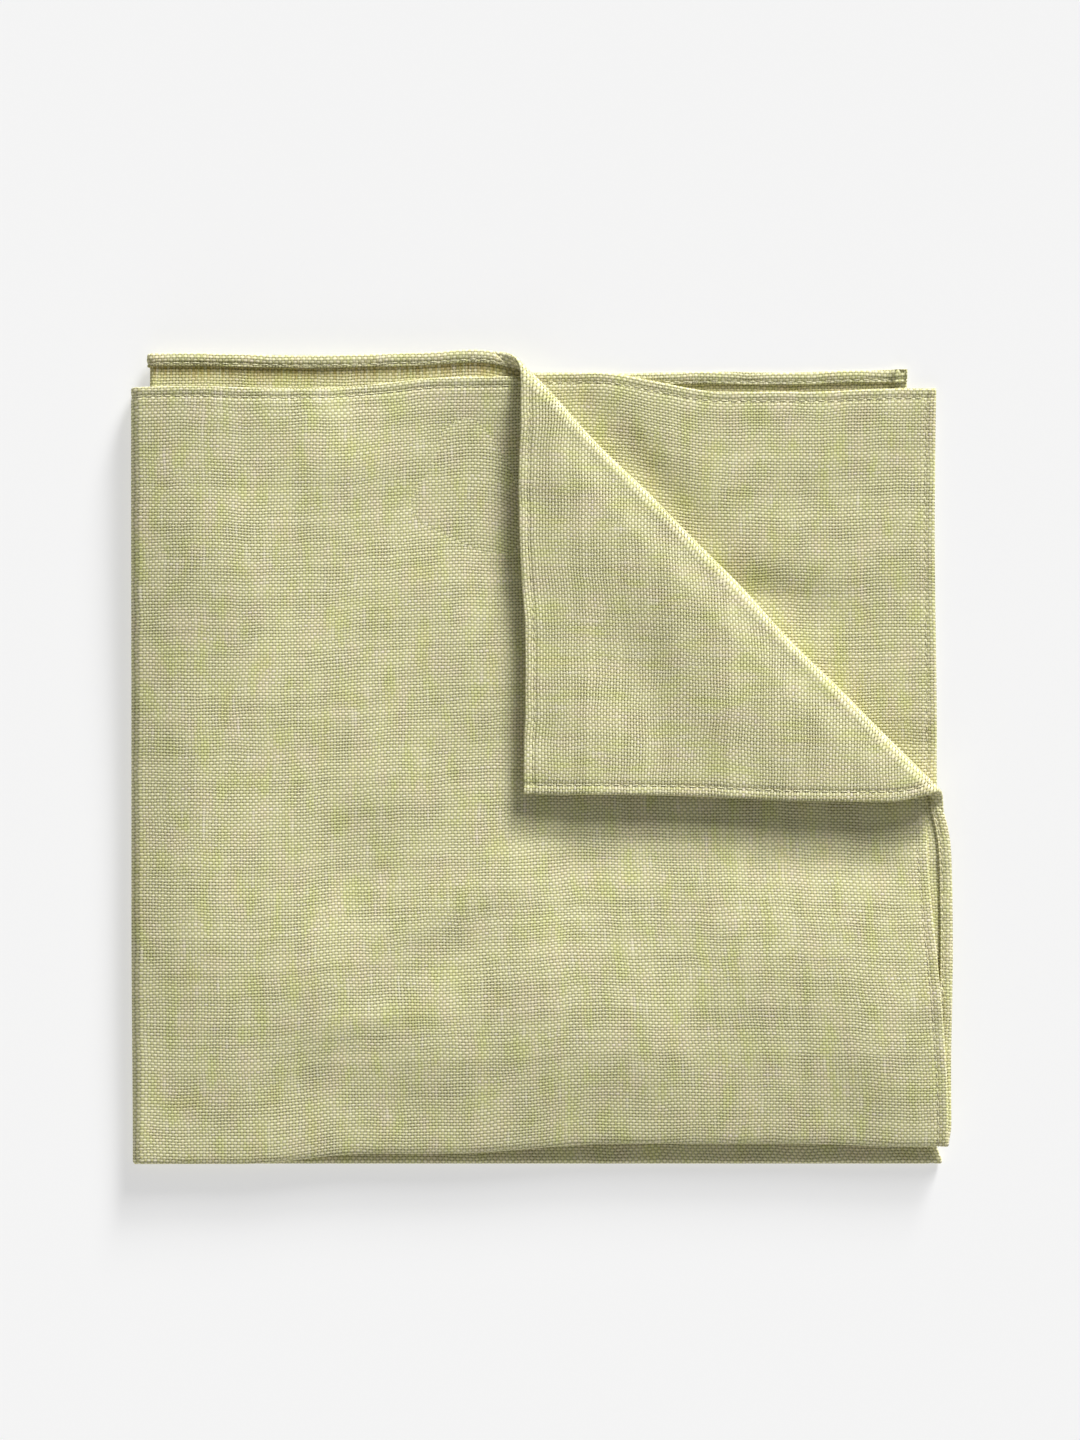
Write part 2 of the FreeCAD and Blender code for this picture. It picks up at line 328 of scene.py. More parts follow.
def laid_sheet(U, V):
    """The laid cloth with its hems turned."""
    u, off_u = turned(U)
    v, off_v = turned(V)
    # at a corner one hem lies over the other
    over = 0.85 * ease(4.6, 3.2, HALF - np.abs(u)) * (off_v > 0.3)
    off = (off_u + off_v + over * ease(0.3, 0.6, off_v))[..., None]
    return lay_down(u, v) + wrong_side(u, v) * off


# %% [markdown]
# The third fold turns the corner of the upper pair over a diagonal line. Both layers go round the same
# axis: the top layer inside on a small radius and the under layer outside on a large one. A fold as sharp
# as paper's would make a knife edge. Turning each point round the axis by its distance past the start
# gives the soft roll of thick cloth.

# %% The diagonal fold
ROLL_OUT = CREASE_R + PITCH / 2 + CLOTH / 2      # outermost surface of the roll, from where it starts
roll_start = crease_at - crease_out * ROLL_OUT
EDGE_X = LEFT_X + 229.0        # where the upper pair's free edges lie
EDGE_Y = LOW_Y + 227.0


def beyond(P):
    """How far points lie past the start of the diagonal roll."""
    return (P[..., 0] - roll_start.x) * crease_out.x + (P[..., 1] - roll_start.y) * crease_out.y


def beside(P):
    """How far points lie along the crease from its middle."""
    return (P[..., 0] - roll_start.x) * crease_way.x + (P[..., 1] - roll_start.y) * crease_way.y


def turn_back(P):
    """The diagonal fold: carries the points past the crease up and over."""
    t = beyond(P)
    s = beside(P)
    angle = np.clip(t / CREASE_R, 0, math.pi)
    half_turn = math.pi * CREASE_R
    near_edge = np.maximum(hill(P[..., 0], EDGE_X, 12), hill(P[..., 1], EDGE_Y, 12))
    # the outer layer rolls in waves and sinks towards the packet, and the inner one sinks less
    waves = swell(s, t, [(0.4, 70, 15, 0.5), (0.36, 45, 80, 2.2), (0.22, 28, 50, 1.0)])
    waves = waves - ridge(s, t, (-25, 25), 76, (12, 4), 0.5)
    sag = ease(14, 60, t)
    dent = 0.6 * hill(s, 12, 17) * hill(t, 46, 13)
    pressed = 0.8 * ease(0, half_turn / 2, t) * ease(half_turn + 9, half_turn, t) * (1 - near_edge)
    outer = P[..., 2] < UPPER_Z
    outer_low = 0.75 * sag + ease(8, 40, t) * waves * (1 - 0.7 * near_edge) + dent + pressed
    low = np.where(outer, outer_low, 0.3 * sag)
    off = P[..., 2] - UPPER_Z + low
    r = CREASE_R - off
    # the roll's rim wanders a little
    loose = np.where(outer, 1.0, 0.4) * swell(s, 0 * s, [(0.28, 83, 0, 0.6), (0.16, 39, 0, 2.0)])
    loose = loose + np.where(outer, pressed, 0)
    flat_t = (r + loose) * np.sin(angle) - np.maximum(t - half_turn, 0)
    new = P.copy()
    new[..., 0] += np.where(t > 0, flat_t - t, 0.0) * crease_out.x
    new[..., 1] += np.where(t > 0, flat_t - t, 0.0) * crease_out.y
    new[..., 2] = np.where(t > 0, CREASE_Z - r * np.cos(angle), P[..., 2])
    return new


print("crease leans", round(math.degrees(math.atan2(crease_way.y, crease_way.x)), 1), "degrees from X")

# %% [markdown]
# The sheet starts as a grid from one mesh operator, in the flat. Its lines are close together where the
# cloth bends and at the hems, and wide apart where it is smooth. The flat place of every point is also
# its UV, in metres, so that the weave follows the threads round every fold.

# %% Lines of the flat grid


def hem_lines():
    """Distances from the middle at which the cloth has a line across the hem."""
    inner = [HALF - d for d in (8.0, 5.8, 4.4, 3.7, 3.2, 2.9, 2.6, 2.3, 1.8, 1.1)]
    roll = [TURN_AT + ROLL * k / 5 for k in range(6)]
    run = [TURN_AT + ROLL + d for d in (0.6, 1.2, 1.7, 2.0, 2.2, 2.45)]
    tuck = [TURN_AT + ROLL + HEM_RUN + TUCK * k / 3 for k in range(4)]
    back = [TURN_AT + ROLL + HEM_RUN + TUCK + d for d in (1.1, TUCK_RUN)]
    return inner + roll + run + tuck + back


def half_lines(radius, pieces, step):
    """Lines from the fold to the cut edge: fine round the fold, then wide, then fine at the hem."""
    arc = math.pi * radius / 2
    fine = [arc * k / pieces for k in range(pieces + 1)]
    first = [arc + 0.8, arc + 2.0, arc + 3.8]
    wide = np.linspace(arc + 6.0, HALF - 10.5, int((HALF - 16.5 - arc) / step)).tolist()
    return fine + first + wide + hem_lines()


def both_ways(hidden, shown):
    """Lines over the whole cloth: the half that lies below has the negative ones."""
    return [-v for v in reversed(hidden[1:])] + shown


HIDDEN_STEP = 4.2      # between the lines of the lower layers
SHOWN_STEP = 2.35      # and of the upper ones
LEFT_PIECES = 11       # lines round a quarter turn of the left fold
BOTTOM_PIECES = 7      # and of the bottom fold
across = both_ways(half_lines(LEFT_R, LEFT_PIECES, HIDDEN_STEP), half_lines(LEFT_R, LEFT_PIECES, SHOWN_STEP))
along = both_ways(
    half_lines(BOTTOM_R, BOTTOM_PIECES, HIDDEN_STEP), half_lines(BOTTOM_R, BOTTOM_PIECES, SHOWN_STEP)
)
print("grid lines:", len(across), "across and", len(along), "along")

# %% Helpers that build a sheet


def flat_place(bm):
    """The two vertex layers that remember each point's place in the flat cloth."""
    layers = bm.verts.layers.float
    return layers.get("U") or layers.new("U"), layers.get("V") or layers.new("V")


def read_flat(bm):
    """Every point's place in the flat cloth."""
    u, v = flat_place(bm)
    return np.array([w[u] for w in bm.verts]), np.array([w[v] for w in bm.verts])


def move_to(bm, places):
    """Moves every point to its new place."""
    for vert, p in zip(bm.verts, places):
        vert.co = p


def drop_mitre(bm):
    """Cuts away the small squares where two margins would be turned over each other."""
    u, v = flat_place(bm)
    limit = TURN_AT + ROLL / 2
    gone = [f for f in bm.faces if min(min(abs(w[u]), abs(w[v])) for w in f.verts) >= limit - 1e-4]
    bmesh.ops.delete(bm, geom=gone, context="FACES")


def finish_sheet(bm, name):
    """Mesh in metres, with its flat place as its UV, in a new object."""
    loose = [w for w in bm.verts if not w.link_faces]
    bmesh.ops.delete(bm, geom=loose, context="VERTS")
    u, v = flat_place(bm)
    uv = bm.loops.layers.uv.new("cloth")
    for f in bm.faces:
        f.smooth = True
        for loop in f.loops:
            loop[uv].uv = (loop.vert[u] * MM, loop.vert[v] * MM)
    U, V = read_flat(bm)
    bmesh.ops.scale(bm, vec=(MM, MM, MM), verts=bm.verts)
    mesh = bpy.data.meshes.new(name)
    bm.to_mesh(mesh)
    bm.free()
    # 1 in the band beside the under layer's top hem that gets painted shade for bunched yarn, 0 elsewhere
    beside_hem = ease(3.0, 3.7, HALF + V) * ease(9.0, 4.2, HALF + V) * ease(112, 96, U) * (U > 0)
    mesh.attributes.new("gather_shade_band", "FLOAT", "POINT").data.foreach_set("value", beside_hem)
    for layer in ("U", "V"):
        mesh.attributes.remove(mesh.attributes[layer])
    piece = bpy.data.objects.new(name, mesh)
    scene.collection.objects.link(piece)
    return piece


def thicken(piece):
    """Gives the sheet its thickness, half to each side."""
    wall = piece.modifiers.new("cloth thickness", "SOLIDIFY")
    wall.thickness = CLOTH * MM
    wall.offset = 0.0
    return piece


def corner_faces(bm):
    """Faces of the upper pair that lie past the start of the diagonal roll."""
    u, v = flat_place(bm)
    past = []
    for f in bm.faces:
        c = f.calc_center_median()
        if f.verts[0][u] > 0 and (c.xy - roll_start.xy).dot(crease_out.xy) > 1e-4:
            past.append(f)
    return past


# %% The main sheet, cut off where the turned corner begins
bm = bmesh.new()
bmesh.ops.create_grid(bm, x_segments=len(across) - 1, y_segments=len(along) - 1, size=1.0)
u, v = flat_place(bm)
for w in bm.verts:
    i = round((w.co.x + 1) / 2 * (len(across) - 1))
    j = round((w.co.y + 1) / 2 * (len(along) - 1))
    w[u] = across[i]
    w[v] = along[j]
drop_mitre(bm)
U, V = read_flat(bm)
move_to(bm, laid_sheet(U, V))
# only the upper pair, and well away from the left fold
upper = [f for f in bm.faces if min(w[u] for w in f.verts) > 60]
in_upper = set(upper)
edges = [e for e in bm.edges if any(f in in_upper for f in e.link_faces)]
verts = [w for w in bm.verts if any(f in in_upper for f in w.link_faces)]
bmesh.ops.bisect_plane(bm, geom=verts + edges + upper, plane_co=roll_start, plane_no=crease_out, dist=1e-5)
bmesh.ops.delete(bm, geom=corner_faces(bm), context="FACES")
main_sheet = thicken(finish_sheet(bm, "linen_cloth"))
print("main sheet faces:", len(main_sheet.data.polygons))

# %% [markdown]
# The turned corner bends along a diagonal, across the threads. A grid in line with the threads would make
# that roll jagged. So each corner gets its own grid in line with the crease, and the hem's lines are then
# cut into it with planes along the threads. The corner pieces start exactly where the main sheet stops.

# %% The two corner sheets


def cut_whole(bm, at, way):
    """Cuts new edges where a plane meets the mesh, and takes nothing away."""
    whole = bm.verts[:] + bm.edges[:] + bm.faces[:]
    bmesh.ops.bisect_plane(bm, geom=whole, plane_co=at, plane_no=way, dist=1e-4)


def corner_sheet(name, sign):
    """The corner of the upper pair: sign is +1 for the top layer and -1 for the under layer."""
    # rows from before the crease outwards: close together in the roll, then wider
    rows = [-8 + 0.45 * k for k in range(54)]
    rows = rows + [16.4 + 1.2 * k for k in range(4)] + [22.0 + 2.6 * k for k in range(33)]
    columns = 110
    long = 212.0
    bm = bmesh.new()
    bmesh.ops.create_grid(bm, x_segments=columns, y_segments=len(rows) - 1, size=1.0)
    base = roll_start - Vector((LEFT_X, LOW_Y, 0))
    for w in bm.verts:
        j = round((w.co.y + 1) / 2 * (len(rows) - 1))
        p = base + crease_way * (w.co.x * long / 2) + crease_out * rows[j]
        w.co = (p.x, sign * p.y, 0)
    # the hem's lines, as cuts along the threads
    for d in hem_lines():
        for across_hem in (Vector((1, 0, 0)), Vector((0, sign, 0))):
            cut_whole(bm, across_hem * d, across_hem)
    # nothing past the cut edge, and nothing near the folds
    outside = TURN_AT + MARGIN + 1e-3
    gone = []
    for w in bm.verts:
        if max(w.co.x, w.co.y * sign) > outside or min(w.co.x, w.co.y * sign) < 20:
            gone.append(w)
    bmesh.ops.delete(bm, geom=gone, context="VERTS")
    u, v = flat_place(bm)
    for w in bm.verts:
        w[u] = w.co.x
        w[v] = w.co.y
    drop_mitre(bm)
    U, V = read_flat(bm)
    move_to(bm, laid_sheet(U, V))
    cut_whole(bm, roll_start, crease_out)
    keep = set(corner_faces(bm))
    bmesh.ops.delete(bm, geom=[f for f in bm.faces if f not in keep], context="FACES")
    bm.verts.index_update()
    places = turn_back(np.array([w.co[:] for w in bm.verts]))
    move_to(bm, places)
    if sign < 0:
        bmesh.ops.reverse_faces(bm, faces=bm.faces[:])
    piece = thicken(finish_sheet(bm, name))
    print(name, "faces:", len(piece.data.polygons))
    return piece


corner_inside = corner_sheet("corner_inside", 1)
corner_outside = corner_sheet("corner_outside", -1)

# %% Area of each sheet in the flat, from its UV


def flat_area(piece):
    """Sum of the areas of the piece's faces in its UV, in square metres."""
    total = 0.0
    uv = piece.data.uv_layers["cloth"].data
    for f in piece.data.polygons:
        p = [uv[i].uv for i in f.loop_indices]
        total += abs(sum(p[k - 1].x * p[k].y - p[k].x * p[k - 1].y for k in range(len(p)))) / 2
    return total


areas = {p.name: flat_area(p) for p in (main_sheet, corner_inside, corner_outside)}
print("flat areas, square mm:", {k: round(a / MM / MM) for k, a in areas.items()})

# %% [markdown]
# The hem is held by a lockstitch: short threads on both faces, in a line. Each stitch is a small
# stretched ball with a few faces. It is laid through the same folds as the cloth, so it sits on the hem
# wherever the hem goes.

# %% The stitches
STITCH = 2.1            # length of one stitch
STITCH_STEP = 2.75      # from one stitch to the next
STITCH_WIDE = 0.17      # half its width
STITCH_HIGH = 0.13      # half its height
FIRST_STITCH = 3.5      # from the corner of the cloth
bm = bmesh.new()
bmesh.ops.create_uvsphere(bm, u_segments=6, v_segments=4, radius=1.0)
bmesh.ops.rotate(bm, verts=bm.verts, cent=(0, 0, 0), matrix=Matrix.Rotation(math.pi / 2, 3, "Y"))
bead = bpy.data.meshes.new("stitch shape")
bm.to_mesh(bead)
bm.free()
shape = np.array([w.co[:] for w in bead.vertices])
print("one stitch has", len(bead.polygons), "faces")

# %% Every stitch of the four hems, in the flat
rng = np.random.default_rng(7)
stitches = []
count = int(2 * (HALF - FIRST_STITCH) / STITCH_STEP)
for side in range(4):
    for face in (-1, 1):
        for k in range(count):
            run = -HALF + FIRST_STITCH + (k + 0.5 + (0.5 if face > 0 else 0.0)) * STITCH_STEP
            a = shape * np.array([STITCH / 2, STITCH_WIDE, STITCH_HIGH])
            tilt = rng.normal(0, 0.05)
            length = a[:, 0] * rng.uniform(0.92, 1.05)
            width = a[:, 1] + tilt * a[:, 0] + rng.normal(0, 0.03)
            edge = (HALF - SEAM_IN + width) * (1 if side < 2 else -1)
            off = CLOTH / 2 - 0.12 + a[:, 2]
            off = -off if face < 0 else 2 * EDGE_R + off
            stitches.append((run + length, edge, off) if side % 2 else (edge, run + length, off))
print("stitches:", len(stitches))

# %% Lay the stitches and divide them between the moving parts
faces = [list(p.vertices) for p in bead.polygons]
groups = {"main_stitches": [], "inside_stitches": [], "outside_stitches": []}
for U, V, off in stitches:
    P = lay_down(U, V) + wrong_side(U, V) * off[:, None]
    if U.mean() > 0 and beyond(P).mean() > 0:
        name = "inside_stitches" if V.mean() > 0 else "outside_stitches"
        P = turn_back(P)
    else:
        name = "main_stitches"
    groups[name].append(P)
thread_pieces = {}
for name, laid in groups.items():
    bm = bmesh.new()
    for P in laid:
        new = [bm.verts.new(p * MM) for p in P]
        for f in faces:
            bm.faces.new([new[i] for i in f]).smooth = True
    bmesh.ops.recalc_face_normals(bm, faces=bm.faces)
    mesh = bpy.data.meshes.new(name)
    bm.to_mesh(mesh)
    bm.free()
    piece = bpy.data.objects.new(name, mesh)
    scene.collection.objects.link(piece)
    thread_pieces[name] = piece
    print(name, len(laid))

# %% [markdown]
# Plain weave is the simplest cloth: each thread goes over one and under the next. Two sets of soft
# ridges, one across and one along, swap places in every other square. Building the pattern from the UV in
# thread counts gives the right thread size, and the same group can serve the cloth and its hems.

# %% Node helpers


def link(tree, a, b):
    """Joins an output socket to an input socket."""
    tree.links.new(a, b)


def maths(tree, kind, *values, clamp=False):
    """A Math node: each value is a number or a socket."""
    node = tree.nodes.new("ShaderNodeMath")
    node.operation = kind
    node.use_clamp = clamp
    for i, value in enumerate(values):
        if isinstance(value, (int, float)):
            node.inputs[i].default_value = value
        else:
            link(tree, value, node.inputs[i])
    return node.outputs[0]


def blend_colours(tree, factor, a, b, kind="MIX"):
    """A Mix node for colours: factor, a and b are values or sockets."""
    node = tree.nodes.new("ShaderNodeMix")
    node.data_type = "RGBA"
    node.blend_type = kind
    for socket, value in ((node.inputs[0], factor), (node.inputs[6], a), (node.inputs[7], b)):
        if hasattr(value, "links"):
            link(tree, value, socket)
        elif isinstance(value, (int, float)):
            socket.default_value = value
        else:
            socket.default_value = (*value, 1.0)
    return node.outputs[2]


def noise(tree, vector, scale, detail):
    """Flat noise, from 0 to 1 round a half."""
    node = tree.nodes.new("ShaderNodeTexNoise")
    node.noise_dimensions = "2D"
    node.inputs["Scale"].default_value = scale
    node.inputs["Detail"].default_value = detail
    link(tree, vector, node.inputs["Vector"])
    return node.outputs["Fac"]


def stretched(tree, vector, scale, detail):
    """Noise that is longer one way than the other."""
    mapping = tree.nodes.new("ShaderNodeMapping")
    mapping.inputs["Scale"].default_value = scale
    link(tree, vector, mapping.inputs["Vector"])
    return noise(tree, mapping.outputs[0], 1.0, detail)


# %% The plain weave group and its sockets
weave = bpy.data.node_groups.new("plain weave", "ShaderNodeTree")
weave.interface.new_socket("Place", in_out="INPUT", socket_type="NodeSocketVector")
THREADS_PER_M = 1172.0
count_socket = weave.interface.new_socket("Threads per metre", in_out="INPUT", socket_type="NodeSocketFloat")
count_socket.default_value = THREADS_PER_M
for name in ("Height", "Weft", "Hole", "Thread tone", "Slub"):
    weave.interface.new_socket(name, in_out="OUTPUT", socket_type="NodeSocketFloat")
entry = weave.nodes.new("NodeGroupInput")
leave = weave.nodes.new("NodeGroupOutput")
print("weave group has", len(weave.interface.items_tree), "sockets")

# %% Which thread a point lies on, and how far across it
SWAY = 1.7      # how many threads' widths the lines may wander
sway = weave.nodes.new("ShaderNodeTexNoise")
sway.noise_dimensions = "2D"
sway.inputs["Scale"].default_value = 55.0
sway.inputs["Detail"].default_value = 2.0
link(weave, entry.outputs[0], sway.inputs["Vector"])
split = weave.nodes.new("ShaderNodeSeparateXYZ")
link(weave, entry.outputs[0], split.inputs[0])
sway_split = weave.nodes.new("ShaderNodeSeparateXYZ")
link(weave, sway.outputs["Color"], sway_split.inputs[0])
a = maths(weave, "MULTIPLY", split.outputs[0], entry.outputs[1])
b = maths(weave, "MULTIPLY", split.outputs[1], entry.outputs[1])
a = maths(weave, "ADD", a, maths(weave, "MULTIPLY", sway_split.outputs[0], SWAY))
b = maths(weave, "ADD", b, maths(weave, "MULTIPLY", sway_split.outputs[1], SWAY))
column = maths(weave, "FLOOR", a)
row = maths(weave, "FLOOR", b)
in_column = maths(weave, "SUBTRACT", maths(weave, "FRACT", a), 0.5)
in_row = maths(weave, "SUBTRACT", maths(weave, "FRACT", b), 0.5)


def per_thread(tree, number, seed):
    """A number from 0 to 1 for each thread, the same along its whole length."""
    node = tree.nodes.new("ShaderNodeTexWhiteNoise")
    node.noise_dimensions = "2D"
    pair = tree.nodes.new("ShaderNodeCombineXYZ")
    link(tree, number, pair.inputs[0])
    pair.inputs[1].default_value = seed
    link(tree, pair.outputs[0], node.inputs["Vector"])
    return node.outputs["Value"]


warp_rand = per_thread(weave, column, 3.0)
weft_rand = per_thread(weave, row, 8.0)
print("threads set out with", len(weave.nodes), "nodes")

# %% The round backs of the threads, over and under
open_weave = maths(weave, "MULTIPLY", noise(weave, entry.outputs[0], 95.0, 2.0), 0.5)


def bulge(tree, across, rand, thick):
    """Round back of a thread: 1 at its middle, 0 at its side. The width changes from thread to thread."""
    width = maths(tree, "SUBTRACT", maths(tree, "MULTIPLY_ADD", rand, 0.14, thick), open_weave)
    share = maths(tree, "DIVIDE", across, width)
    drop = maths(tree, "MULTIPLY", maths(tree, "MULTIPLY", share, share), 4.0)
    return maths(tree, "SUBTRACT", 1.0, drop, clamp=True)


def over_under(tree, run, other):
    """1 where a thread is on top, 0 where it is below, along its length."""
    phase = maths(tree, "MULTIPLY", maths(tree, "ADD", maths(tree, "SUBTRACT", run, 0.5), other), math.pi)
    return maths(tree, "MULTIPLY_ADD", maths(tree, "COSINE", phase), 0.5, 0.5)


weft_back = bulge(weave, in_row, weft_rand, 1.0)
warp_back = bulge(weave, in_column, warp_rand, 0.95)
weft_up = over_under(weave, a, row)
warp_up = over_under(weave, b, maths(weave, "ADD", column, 1.0))
weft_level = maths(weave, "MULTIPLY_ADD", weft_up, 0.75, 0.25)
weft_h = maths(weave, "MULTIPLY", maths(weave, "SQRT", weft_back), weft_level)
warp_level = maths(weave, "MULTIPLY_ADD", warp_up, 0.7, 0.2)
warp_h = maths(weave, "MULTIPLY", maths(weave, "SQRT", warp_back), warp_level)
height = maths(weave, "MAXIMUM", weft_h, warp_h)
is_weft = maths(weave, "MULTIPLY_ADD", maths(weave, "SUBTRACT", weft_h, warp_h), 5.0, 0.5, clamp=True)
hole = maths(weave, "MULTIPLY_ADD", height, -4.5, 1.6, clamp=True)
print("threads cross with", len(weave.nodes), "nodes")

# %% Thread tones and slubs, and the group's outputs


def pick(tree, is_weft, for_weft, for_warp):
    """Takes one value on the weft and the other on the warp."""
    is_warp = maths(tree, "SUBTRACT", 1.0, is_weft)
    weft_part = maths(tree, "MULTIPLY", is_weft, for_weft)
    return maths(tree, "ADD", weft_part, maths(tree, "MULTIPLY", is_warp, for_warp))


tone = pick(weave, is_weft, weft_rand, warp_rand)
slubs = []
for along_thread, number in ((a, row), (b, column)):
    pair = weave.nodes.new("ShaderNodeCombineXYZ")
    link(weave, maths(weave, "MULTIPLY", along_thread, 0.09), pair.inputs[0])
    link(weave, maths(weave, "MULTIPLY", number, 7.3), pair.inputs[1])
    slubs.append(maths(weave, "MULTIPLY_ADD", noise(weave, pair.outputs[0], 1.0, 1.0), 6.0, -3.9, clamp=True))
slub = pick(weave, is_weft, *slubs)
for i, value in enumerate((height, is_weft, hole, tone, slub)):
    link(weave, value, leave.inputs[i])
print("weave group:", len(weave.nodes), "nodes")

# %% [markdown]
# Linen yarn is spun unevenly and takes dye unevenly. Single threads are thicker or paler for a few
# centimetres, and soft patches of greener and of rosier yarn drift across the cloth. The weft is the
# cream yarn and the warp the green.

# %% The linen material


def linen(name, weft, warp, slub_colour, gap_shade, bump):
    mat = bpy.data.materials.new(name)
    mat.use_nodes = True
    tree = mat.node_tree
    shader = tree.nodes["Principled BSDF"]
    uv = tree.nodes.new("ShaderNodeUVMap")
    uv.uv_map = "cloth"
    threads = tree.nodes.new("ShaderNodeGroup")
    threads.node_tree = weave
    link(tree, uv.outputs[0], threads.inputs[0])
    threads.inputs[1].default_value = THREADS_PER_M
    # yarn that is deeper in tone for a stretch, along the weft and along the warp
    streaks = [stretched(tree, uv.outputs[0], way, 3.0) for way in ((60.0, 800.0, 1.0), (800.0, 60.0, 1.0))]
    cream = blend_colours(tree, streaks[0], weft[0], weft[1])
    green = blend_colours(tree, streaks[1], warp[0], warp[1])
    yarn = blend_colours(tree, threads.outputs["Weft"], green, cream)
    tone = maths(tree, "MULTIPLY_ADD", threads.outputs["Thread tone"], 0.10, 0.99)
    # painted shade: by the height of the weave, each thread's colour is darker at its sides and in the gaps
    # between threads, and a little lighter on its back
    shade = maths(tree, "MULTIPLY_ADD", threads.outputs["Height"], 0.72, 0.42)
    tone = maths(tree, "MULTIPLY", tone, shade)
    yarn = blend_colours(tree, maths(tree, "MULTIPLY", threads.outputs["Slub"], 0.7), yarn, slub_colour)
    grey = tree.nodes.new("ShaderNodeCombineColor")
    for i in range(3):
        link(tree, tone, grey.inputs[i])
    yarn = blend_colours(tree, 1.0, yarn, grey.outputs[0], "MULTIPLY")
    # patches of rosier and of greener yarn
    rosy = stretched(tree, uv.outputs[0], (150.0, 80.0, 1.0), 3.0)
    rosy = maths(tree, "MULTIPLY_ADD", rosy, 4.5, -2.1, clamp=True)
    leafy = stretched(tree, uv.outputs[0], (210.0, 85.0, 1.0), 3.0)
    leafy = maths(tree, "MULTIPLY_ADD", leafy, 4.5, -2.2, clamp=True)
    yarn = blend_colours(tree, rosy, yarn, (1.03, 0.985, 1.05), "MULTIPLY")
    yarn = blend_colours(tree, leafy, yarn, (0.94, 0.975, 0.80), "MULTIPLY")
    # painted shade: beside the under layer's hem, dark lines along the threads stand for the shade between
    # bunched threads
    beside_hem = tree.nodes.new("ShaderNodeAttribute")
    beside_hem.attribute_name = "gather_shade_band"
    lines = stretched(tree, uv.outputs[0], (1000.0, 45.0, 1.0), 2.0)
    lines = maths(tree, "MULTIPLY_ADD", lines, 3.2, -0.95, clamp=True)
    painted_gather_shade = maths(tree, "MULTIPLY", beside_hem.outputs["Fac"], lines)
    yarn = blend_colours(tree, painted_gather_shade, yarn, (0.72, 0.63, 0.38), "MULTIPLY")
    # painted shade: the gaps between the threads are coloured nearly black, for the shade in the holes of the
    # weave
    yarn = blend_colours(tree, maths(tree, "MULTIPLY", threads.outputs["Hole"], 0.85), yarn, gap_shade)
    link(tree, yarn, shader.inputs["Base Color"])
    rough = maths(tree, "MULTIPLY_ADD", threads.outputs["Height"], -0.1, 0.92)
    link(tree, rough, shader.inputs["Roughness"])
    # the relief of the threads, with a little fibre on it
    fuzz = noise(tree, uv.outputs[0], 5200.0, 2.0)
    relief = maths(tree, "MULTIPLY_ADD", fuzz, 0.14, threads.outputs["Height"])
    lift = tree.nodes.new("ShaderNodeBump")
    lift.inputs["Strength"].default_value = bump
    lift.inputs["Distance"].default_value = 0.00022
    link(tree, relief, lift.inputs["Height"])
    link(tree, lift.outputs[0], shader.inputs["Normal"])
    shader.inputs["Specular IOR Level"].default_value = 0.25
    shader.inputs["Sheen Weight"].default_value = 0.05
    shader.inputs["Sheen Roughness"].default_value = 0.5
    return mat


linen_mat = linen(
    "washed linen",
    ((0.94, 0.90, 0.60), (0.86, 0.82, 0.50)),
    ((0.72, 0.69, 0.36), (0.62, 0.60, 0.28)),
    (0.92, 0.86, 0.66),
    # the painted shade in the gaps of the weave
    (0.15, 0.135, 0.04),
    0.65,
)
for piece in (main_sheet, corner_inside, corner_outside):
    piece.data.materials.append(linen_mat)
print("linen has", len(linen_mat.node_tree.nodes), "nodes")

# %% [markdown]
# Sewing thread is two or three plies twisted together, so it shows fine slanting stripes. A stitch is too
# short for a modelled twist, so a striped pattern on the object's own coordinates gives it a relief and a
# slight gloss, and paints its colour darker in the grooves between the plies: painted shade.

# %% The sewing thread's material
thread_mat = bpy.data.materials.new("sewing thread")
thread_mat.use_nodes = True
tree = thread_mat.node_tree
shader = tree.nodes["Principled BSDF"]
place = tree.nodes.new("ShaderNodeTexCoord")
ply = tree.nodes.new("ShaderNodeTexWave")
ply.wave_type = "BANDS"
ply.bands_direction = "DIAGONAL"
ply.inputs["Scale"].default_value = 900.0
link(tree, place.outputs["Object"], ply.inputs["Vector"])
# painted shade: the thread's colour is darker where the stripes' bump is low, in the grooves of the twist
colour = blend_colours(tree, ply.outputs["Fac"], (0.66, 0.63, 0.38), (0.86, 0.83, 0.58))
link(tree, colour, shader.inputs["Base Color"])
twist = tree.nodes.new("ShaderNodeBump")
twist.inputs["Strength"].default_value = 0.4
twist.inputs["Distance"].default_value = 0.00005
link(tree, ply.outputs["Fac"], twist.inputs["Height"])
link(tree, twist.outputs[0], shader.inputs["Normal"])
link(tree, maths(tree, "MULTIPLY_ADD", ply.outputs["Fac"], -0.15, 0.75), shader.inputs["Roughness"])
for piece in thread_pieces.values():
    piece.data.materials.append(thread_mat)
print("thread material ready")

# %% [markdown]
# The cloth opens at its left fold and the corner opens at the crease. A rigid cut there would tear it, so
# each sheet bends: the lower layers stay, the upper layers move, and only the thin band of height between
# them turns. The layers keep clear of that band nearly everywhere but in the folds.

# %% Let the sheets bend at the folds
BOOK_BAND = 0.55       # half the height of the band that turns, at the left fold
CREASE_BAND = 0.5      # and at the diagonal one


def bend_between(piece, still, moving, z, band):
    """The piece follows one body below the band round height z, and the other above it."""
    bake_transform(piece, still, moving, start=(0, 0, (z - band) * MM), end=(0, 0, (z + band) * MM))


